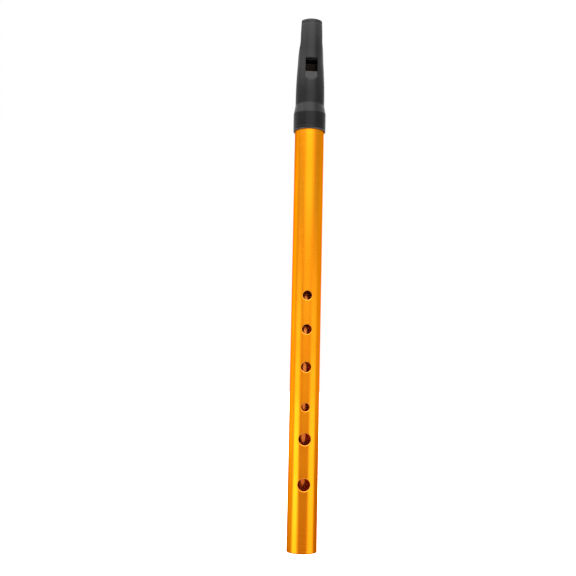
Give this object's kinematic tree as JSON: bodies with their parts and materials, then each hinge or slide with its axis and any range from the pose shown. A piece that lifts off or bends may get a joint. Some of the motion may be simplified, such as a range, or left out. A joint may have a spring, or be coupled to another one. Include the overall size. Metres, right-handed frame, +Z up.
{
  "type": "tin whistle",
  "caption": "Slim end-blown whistle: a gold-anodised metal tube with finger holes and a push-on black moulded head that slides for tuning.",
  "frame": {"origin": "centre of the tube's foot face, on the tube's axis", "axes": "+Z up the tube's axis towards the mouthpiece; the window and the finger holes face -Y"},
  "size_m": [0.0178, 0.0178, 0.2886],
  "materials": {
    "anodised_tube": "satin gold anodised, fine turned lines round the tube",
    "seal": "waxy white",
    "head_plastic": "semi-gloss black moulding",
    "block_plastic": "semi-gloss black moulding"
  },
  "bodies": {
    "tube": {"body_tube": "anodised_tube"},
    "seal": {"seal_band": "seal"},
    "head": {"head_shell": "head_plastic", "windway_block": "block_plastic"}
  },
  "joints": [
    {"name": "head_turn", "type": "hinge", "parent": "tube", "child": "seal", "pos_m": [0, 0, 0.2305], "axis": [0, 0, 1], "continuous": true},
    {"name": "head_slide", "type": "slide", "parent": "seal", "child": "head", "axis": [0, 0, 1], "range_m": [-0.0019, 0.014]}
  ]
}
